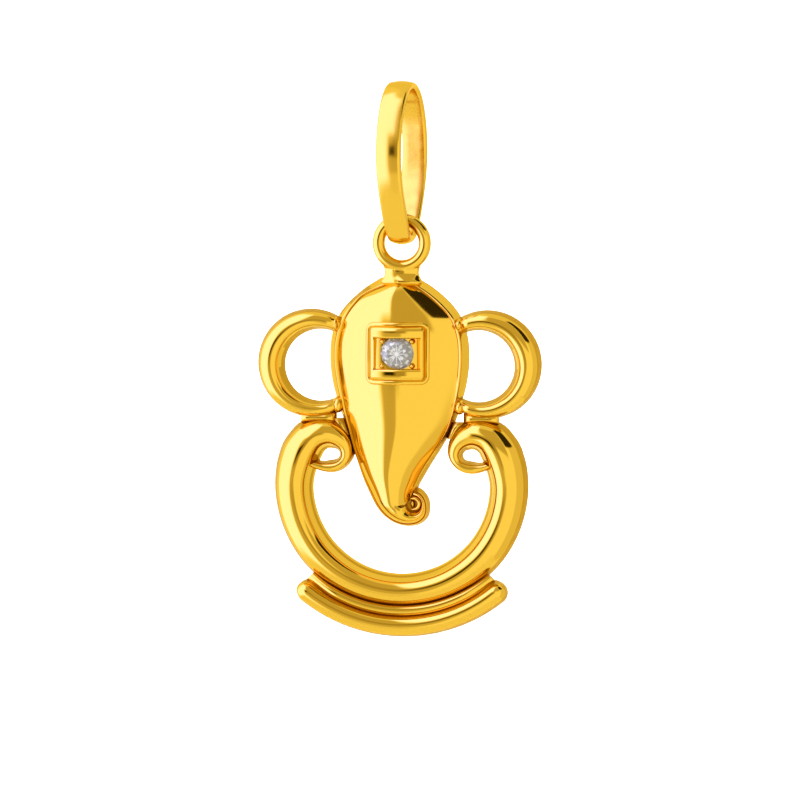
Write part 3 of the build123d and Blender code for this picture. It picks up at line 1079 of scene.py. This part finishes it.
class PENDANT_OT_setting(bpy.types.Operator):
    """The setting: a framed block with a channel across it, on a round bead of solder"""

    bl_idname = "pendant.setting"
    bl_label = "Setting"

    def at_front(self, point):
        """Whether a point lies in the block's front."""
        return abs(point.y - spot(0.0, SETTING_FRONT, 0.0).y) < 0.01 * MM

    def at_corner(self, point):
        """Whether a point lies on one of the block's four upright corners."""
        x, z = abs(point.x / MM), abs(point.z / MM - SETTING_Z)
        return abs(x - SETTING_WIDTH / 2) < 0.01 and abs(z - SETTING_HEIGHT / 2) < 0.01

    def on_window(self, point):
        """Whether a point lies in the front and on the window's edge or within it."""
        x, z = abs(point.x / MM), abs(point.z / MM - SETTING_Z)
        within = x < SETTING_WIDTH / 2 - SETTING_BAR + 0.02 and z < SETTING_WINDOW / 2 + 0.02
        return within and self.at_front(point)

    def pick_faces(self, obj, wanted):
        """Selects the wanted faces in edit mode."""
        bpy.ops.mesh.select_all(action="DESELECT")
        mesh = bmesh.from_edit_mesh(obj.data)
        for face in mesh.faces:
            face.select_set(wanted(face))
        bmesh.update_edit_mesh(obj.data)

    def round_edges(self, obj, radius, segments, wanted):
        """Rounds over the wanted edges in edit mode."""
        bpy.ops.mesh.select_mode(type="EDGE")
        bpy.ops.mesh.select_all(action="DESELECT")
        mesh = bmesh.from_edit_mesh(obj.data)
        for edge in mesh.edges:
            edge.select_set(wanted(edge.verts[0].co, edge.verts[1].co))
        bmesh.update_edit_mesh(obj.data)
        bpy.ops.mesh.bevel(offset=radius * MM, segments=segments, affect="EDGES", clamp_overlap=True)

    def dome_front(self, block):
        """Domes the front a little from side to side."""
        back = sizes().back / MM
        for cut in range(-7, 8):
            place = (cut * 0.15 * MM, 0.0, 0.0)
            bpy.ops.mesh.select_all(action="SELECT")
            bpy.ops.mesh.bisect(plane_co=place, plane_no=(1.0, 0.0, 0.0), threshold=1e-8)
        mesh = bmesh.from_edit_mesh(block.data)
        for vert in mesh.verts:
            if back - vert.co.y / MM > SETTING_FLOOR - 0.2:
                vert.co.y += SETTING_DOMING * MM * (vert.co.x / (SETTING_WIDTH / 2 * MM)) ** 2
        bmesh.update_edit_mesh(block.data)

    def block(self):
        """The block with its window between two bars."""
        let_go()
        bpy.ops.mesh.primitive_cube_add(
            size=1.0, location=spot(0.0, (SETTING_FRONT + SETTING_BACK) / 2, SETTING_Z),
            scale=(SETTING_WIDTH * MM, (SETTING_FRONT - SETTING_BACK) * MM, SETTING_HEIGHT * MM),
        )
        block = bpy.context.object
        block.name = "setting"
        bpy.ops.object.transform_apply(location=True, rotation=True, scale=True)
        bpy.ops.object.mode_set(mode="EDIT")
        bpy.ops.mesh.select_mode(type="FACE")
        self.pick_faces(block, lambda face: face.normal.y < -0.9)
        bpy.ops.mesh.inset(thickness=SETTING_BAR * MM, depth=0.0)
        bpy.ops.transform.resize(
            value=(1.0, 1.0, SETTING_WINDOW / (SETTING_HEIGHT - 2 * SETTING_BAR)),
            center_override=spot(0.0, SETTING_FRONT, SETTING_Z),
        )
        inwards = (0.0, (SETTING_FRONT - SETTING_FLOOR) * MM, 0.0)
        bpy.ops.mesh.extrude_region_move(TRANSFORM_OT_translate={"value": inwards})
        # Rounded over: the corners, then the front's outer edges, then the window's long edges
        self.round_edges(block, 0.22, 6, lambda a, b: self.at_corner(a) and self.at_corner(b))
        self.round_edges(
            block, 0.17, 6, lambda a, b: all(self.at_front(p) and not self.on_window(p) for p in (a, b)),
        )
        self.round_edges(
            block, 0.13, 4,
            lambda a, b: self.on_window(a) and self.on_window(b) and abs(a.z - b.z) < 0.01 * MM,
        )
        self.dome_front(block)
        bpy.ops.mesh.select_mode(type="VERT")
        bpy.ops.object.mode_set(mode="OBJECT")
        return block

    def solder(self):
        """Bead of solder round the foot of the block, lying on the dome."""
        half_x, half_z = SETTING_WIDTH / 2 + 0.1, SETTING_HEIGHT / 2 + 0.08
        corner, wire = 0.3, 0.13
        bends = []
        for quarter, (side, up) in enumerate(((1, 1), (-1, 1), (-1, -1), (1, -1))):
            for step in range(9):
                t = radians(90 * quarter + 90 * step / 8)
                x = side * (half_x - corner) + corner * cos(t)
                z = up * (half_z - corner) + corner * sin(t)
                bends.append((x, z, t))
        path = []
        for i, (x, z, t) in enumerate(bends):
            path.append((x, z, t))
            if i % 9 == 8:
                next_x, next_z = bends[(i + 1) % len(bends)][:2]
                path += [(x + (next_x - x) * cut / 8, z + (next_z - z) * cut / 8, t) for cut in range(1, 8)]
        rings = []
        for x, z, t in path:
            level = dome_level(x, HEAD_TOP - SETTING_Z - z) + 0.02
            ring = []
            for a in turns(14):
                out = wire * cos(a)
                ring.append(spot(x + out * cos(t), level + wire * 0.8 * sin(a), SETTING_Z + z + out * sin(t)))
            rings.append(ring)
        finish_body(sweep("setting_bead", rings, closed=True))

    def claws(self):
        """Four small beads raised from the floor over the stone's rim; one is modelled and copied."""
        rings = []
        for reach, rise in CLAW_ROWS:
            rings.append([spot(reach * cos(a), SETTING_FLOOR + rise, reach * sin(a)) for a in turns(16)])
        first = sweep("claw", rings)
        for up in (1, -1):
            for side in (-1, 1):
                claw = first.copy()
                claw.data = first.data.copy()
                bpy.context.collection.objects.link(claw)
                claw.location = (side * CLAW_X * MM, 0.0, (SETTING_Z + up * CLAW_Z) * MM)
                take(claw)
                bpy.ops.object.transform_apply(location=True, rotation=False, scale=False)
                finish_body(claw)
        bpy.data.objects.remove(first)

    def execute(self, context):
        finish_body(self.block())
        self.solder()
        self.claws()
        return {"FINISHED"}


class PENDANT_OT_trunk_eye(bpy.types.Operator):
    """The eye of the trunk's curl: a sunk floor, the curl's fine end round it and a bead"""

    bl_idname = "pendant.trunk_eye"
    bl_label = "Eye of the curl"

    def ridge(self):
        """The curl's fine end, thinner towards both its tips."""
        thickest, level = 0.105, 0.78
        rings = []
        for step in range(41):
            share = step / 40
            t = radians(-100 + 215 * share)
            wire = thickest * sin(pi * (0.08 + 0.84 * share)) ** 0.6
            reach = 0.3 + 0.03 * cos(2 * pi * (share - 0.5))
            ring = []
            for a in turns(16):
                out = reach + wire * cos(a)
                ring.append(spot(EYE_X + out * cos(t), level + wire * 1.6 * sin(a), EYE_Z + out * sin(t)))
            rings.append(ring)
        return sweep("ridge", rings)

    def execute(self, context):
        let_go()
        bpy.ops.mesh.primitive_cylinder_add(
            vertices=48, radius=0.47 * MM, depth=0.4 * MM, location=spot(EYE_X, 0.22, EYE_Z),
            rotation=(pi / 2, 0.0, 0.0),
        )
        floor = bpy.context.object
        bpy.ops.mesh.primitive_uv_sphere_add(
            segments=32, ring_count=16, radius=0.14 * MM, location=spot(EYE_X, 0.6, EYE_Z),
            rotation=(pi / 2, 0.0, 0.0), scale=(0.85, 1.45, 2.0),
        )
        bead = bpy.context.object
        ridge = self.ridge()
        take(floor)
        for part in (bead, ridge):
            part.select_set(True)
        bpy.ops.object.transform_apply(location=True, rotation=True, scale=True)
        bpy.ops.object.join()
        floor.name = "trunk_eye"
        # Faces below that height, the sunk floor above all, take the darker wall gold: painted shade in the
        # hollow
        finish_body(floor, EYE_WALLS, steep=1.1)
        return {"FINISHED"}


class PENDANT_OT_stone(bpy.types.Operator):
    """The round stone: a short cylinder cut facet by facet"""

    bl_idname = "pendant.stone"
    bl_label = "Stone"

    def execute(self, context):
        diameter = sizes().stone / MM
        crown, pavilion = STONE_CROWN * diameter, STONE_PAVILION * diameter
        back = sizes().back / MM
        girdle_top = SETTING_FRONT - STONE_SUNK - crown
        girdle_foot = girdle_top - STONE_GIRDLE * diameter
        top, bottom = girdle_top + crown, girdle_foot - pavilion
        let_go()
        bpy.ops.mesh.primitive_cylinder_add(
            vertices=96, radius=diameter / 2 * MM, depth=(top - bottom) * MM,
            location=(0.0, (back - (top + bottom) / 2) * MM, SETTING_Z * MM), rotation=(pi / 2, 0.0, 0.0),
        )
        stone = bpy.context.object
        stone.name = "stone_cut"
        bpy.ops.object.transform_apply(location=True, rotation=True, scale=True)
        bpy.ops.object.mode_set(mode="EDIT")
        for count, first, near_reach, near_level, far_reach, far_level in FACET_ROWS:
            for step in range(count):
                a = radians(first + step * 360 / count)
                near = near_reach * diameter / 2, near_level * (crown if near_level > 0 else pavilion)
                far = far_reach * diameter / 2, far_level * (crown if far_level > 0 else pavilion)
                fall, rise = near[0] - far[0], far[1] - near[1]
                normal = Vector((abs(rise) * cos(a), -fall * (1 if rise > 0 else -1), abs(rise) * sin(a)))
                base = girdle_top if rise > 0 else girdle_foot
                touch = Vector((near[0] * cos(a), back - (base + near[1]), SETTING_Z + near[0] * sin(a))) * MM
                bpy.ops.mesh.select_all(action="SELECT")
                bpy.ops.mesh.bisect(
                    plane_co=touch, plane_no=normal.normalized(), use_fill=True, clear_outer=True,
                    threshold=1e-9,
                )
        bpy.ops.mesh.select_all(action="SELECT")
        bpy.ops.mesh.remove_doubles(threshold=1e-7)
        bpy.ops.mesh.normals_make_consistent(inside=False)
        bpy.ops.object.mode_set(mode="OBJECT")
        take(stone)
        bpy.ops.object.shade_flat()
        stone.data.materials.clear()
        stone.data.materials.append(stone_glass())
        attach(stone, "pendant")
        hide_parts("stone")
        return {"FINISHED"}


class PENDANT_OT_studio(bpy.types.Operator):
    """The floor, the soft light and the camera"""

    bl_idname = "pendant.studio"
    bl_label = "Studio"

    azimuth: bpy.props.FloatProperty(
        name="Azimuth", description="Side from which the camera looks",
        default=radians(7.0), subtype="ANGLE",
    )
    elevation: bpy.props.FloatProperty(
        name="Elevation", description="Height from which the camera looks",
        default=radians(5.0), subtype="ANGLE",
    )

    def floor(self):
        """A pale sheet: floor in front, rising in a wide curve behind."""
        let_go()
        bpy.ops.mesh.primitive_plane_add(size=SHEET_SIZE, location=(0.0, 0.0, SHEET_LEVEL))
        sheet = bpy.context.object
        sheet.name = "studio_floor"
        bpy.ops.object.transform_apply(location=True, rotation=True, scale=True)
        bpy.ops.object.mode_set(mode="EDIT")
        bpy.ops.mesh.select_all(action="DESELECT")
        bpy.ops.mesh.select_mode(type="EDGE")
        mesh = bmesh.from_edit_mesh(sheet.data)
        for edge in mesh.edges:
            if all(v.co.y > SHEET_SIZE / 2 - 0.01 for v in edge.verts):
                edge.select_set(True)
        bmesh.update_edit_mesh(sheet.data)
        for step in range(1, SHEET_BENDS + 1):
            tilt = radians(90 * (step - 0.5) / SHEET_BENDS)
            move = (0.0, SHEET_BEND * cos(tilt), SHEET_BEND * sin(tilt))
            bpy.ops.mesh.extrude_region_move(TRANSFORM_OT_translate={"value": move})
        bpy.ops.mesh.extrude_region_move(TRANSFORM_OT_translate={"value": (0.0, 0.0, SHEET_BACK)})
        bpy.ops.mesh.select_mode(type="VERT")
        bpy.ops.mesh.select_all(action="SELECT")
        bpy.ops.object.mode_set(mode="OBJECT")
        bpy.ops.object.shade_smooth()
        sheet.data.materials.append(self.paper())

    def paper(self):
        """Pale paper with a glow of its own, stronger to the camera than to the object."""
        made = bpy.data.materials.new("pale_paper")
        made.use_nodes = True
        nodes, links = made.node_tree.nodes, made.node_tree.links
        shader = nodes["Principled BSDF"]
        shader.inputs["Base Color"].default_value = (*colours().floor, 1.0)
        shader.inputs["Roughness"].default_value = 0.9
        shader.inputs["Emission Color"].default_value = WHITE
        path = nodes.new("ShaderNodeLightPath")
        glow = nodes.new("ShaderNodeMapRange")
        glow.inputs["To Min"].default_value = 0.14
        links.new(path.outputs["Is Camera Ray"], glow.inputs["Value"])
        links.new(glow.outputs["Result"], shader.inputs["Emission Strength"])
        return made

    def panels(self, tree):
        """Level of the tent's light in each direction."""
        place = tree.nodes.new("ShaderNodeTexCoord")
        parts = tree.nodes.new("ShaderNodeSeparateXYZ")
        tree.links.new(place.outputs["Generated"], parts.inputs["Vector"])
        forward = worked(tree, "MULTIPLY", parts.outputs["Y"], -1.0)
        azimuth = worked(tree, "ARCTAN2", parts.outputs["X"], forward)
        height = worked(tree, "ARCSINE", parts.outputs["Z"])

        def within(value, low, high, soft):
            """All between two angles, and softly none outside them."""
            rising = ramp(tree, value, radians(low - soft), radians(low))
            falling = ramp(tree, value, radians(high + soft), radians(high))
            return worked(tree, "MULTIPLY", rising, falling)

        level = TENT
        for left, right, low, high, bright, soft in STUDIO_PANELS:
            across, upright = within(azimuth, left, right, soft), within(height, low, high, soft)
            mix = tree.nodes.new("ShaderNodeMix")
            tree.links.new(worked(tree, "MULTIPLY", across, upright), mix.inputs["Factor"])
            if isinstance(level, float):
                mix.inputs["A"].default_value = level
            else:
                tree.links.new(level, mix.inputs["A"])
            mix.inputs["B"].default_value = bright
            level = mix.outputs["Result"]
        return level

    def light(self):
        """A soft tent: one wide bright panel to the left, gentler light elsewhere and a few dark flags."""
        world = bpy.context.scene.world or bpy.data.worlds.new("studio")
        bpy.context.scene.world = world
        world.use_nodes = True
        tree = world.node_tree
        nodes, links = tree.nodes, tree.links
        nodes.clear()
        level = self.panels(tree)
        path = nodes.new("ShaderNodeLightPath")
        # Dim light is warm, and the big panels are cool where they are mirrored
        warm = mixed(tree, ramp(tree, level, *WARM_LEVELS, "LINEAR"), WARM_TINT, WHITE)
        coolness = ramp(tree, level, *COOL_LEVELS, "LINEAR")
        mirrored = worked(tree, "MULTIPLY", coolness, path.outputs["Is Glossy Ray"])
        shine = nodes.new("ShaderNodeBackground")
        links.new(level, shine.inputs["Strength"])
        links.new(mixed(tree, mirrored, warm, COOL_TINT), shine.inputs["Color"])
        # The camera itself sees plain white
        paper = nodes.new("ShaderNodeBackground")
        paper.inputs["Color"].default_value = WHITE
        seen = nodes.new("ShaderNodeMixShader")
        links.new(path.outputs["Is Camera Ray"], seen.inputs[0])
        links.new(shine.outputs["Background"], seen.inputs[1])
        links.new(paper.outputs["Background"], seen.inputs[2])
        leave = nodes.new("ShaderNodeOutputWorld")
        links.new(seen.outputs["Shader"], leave.inputs["Surface"])

    def camera(self):
        """A long lens at the photo's viewing angle."""
        let_go()
        a, e = self.azimuth, self.elevation
        towards = Vector((sin(a) * cos(e), -cos(a) * cos(e), sin(e)))
        bpy.ops.object.camera_add(location=Vector(CAMERA_AIM) + towards * CAMERA_DISTANCE)
        camera = bpy.context.object
        camera.name = "studio_camera"
        camera.rotation_mode = "QUATERNION"
        camera.rotation_quaternion = (-towards).to_track_quat("-Z", "Y")
        camera.data.sensor_width = CAMERA_SENSOR
        camera.data.lens = CAMERA_SENSOR * CAMERA_DISTANCE / CAMERA_VIEW
        camera.data.clip_start = 0.01
        camera.data.clip_end = 10.0
        bpy.context.scene.camera = camera

    def execute(self, context):
        self.floor()
        self.light()
        self.camera()
        bpy.context.scene.view_settings.view_transform = "Standard"
        return {"FINISHED"}


class PENDANT_PT_panel(bpy.types.Panel):
    """Sidebar panel with the pendant's sizes, colours and pieces"""

    bl_label = "Ganesha pendant"
    bl_idname = "PENDANT_PT_panel"
    bl_space_type = "VIEW_3D"
    bl_region_type = "UI"
    bl_category = "Pendant"

    def draw(self, context):
        layout = self.layout
        for group in (context.scene.pendant_sizes, context.scene.pendant_colours):
            box = layout.box()
            for name in group.__annotations__:
                box.prop(group, name)
        for piece in PIECES:
            layout.operator(piece.bl_idname)


PIECES = (
    PENDANT_OT_bail,
    PENDANT_OT_loop,
    PENDANT_OT_head,
    PENDANT_OT_trunk_eye,
    PENDANT_OT_ears,
    PENDANT_OT_arms,
    PENDANT_OT_base,
    PENDANT_OT_seams,
    PENDANT_OT_setting,
    PENDANT_OT_stone,
    PENDANT_OT_studio,
)
CLASSES = (PendantSizes, PendantColours, *PIECES, PENDANT_PT_panel)


def register():
    """Adds the classes and their settings to the scene."""
    for item in CLASSES:
        bpy.utils.register_class(item)
    bpy.types.Scene.pendant_sizes = bpy.props.PointerProperty(type=PendantSizes)
    bpy.types.Scene.pendant_colours = bpy.props.PointerProperty(type=PendantColours)


def unregister():
    """Takes the settings and the classes away again."""
    del bpy.types.Scene.pendant_colours
    del bpy.types.Scene.pendant_sizes
    for item in reversed(CLASSES):
        bpy.utils.unregister_class(item)


def main():
    """Builds the pendant and its studio."""
    register()
    bpy.ops.pendant.bail()
    bpy.ops.pendant.loop()
    bpy.ops.pendant.head()
    bpy.ops.pendant.trunk_eye()
    bpy.ops.pendant.ears()
    bpy.ops.pendant.arms()
    bpy.ops.pendant.base()
    bpy.ops.pendant.seams()
    bpy.ops.pendant.setting()
    bpy.ops.pendant.stone()
    bpy.ops.pendant.studio()


if __name__ == "__main__":
    main()
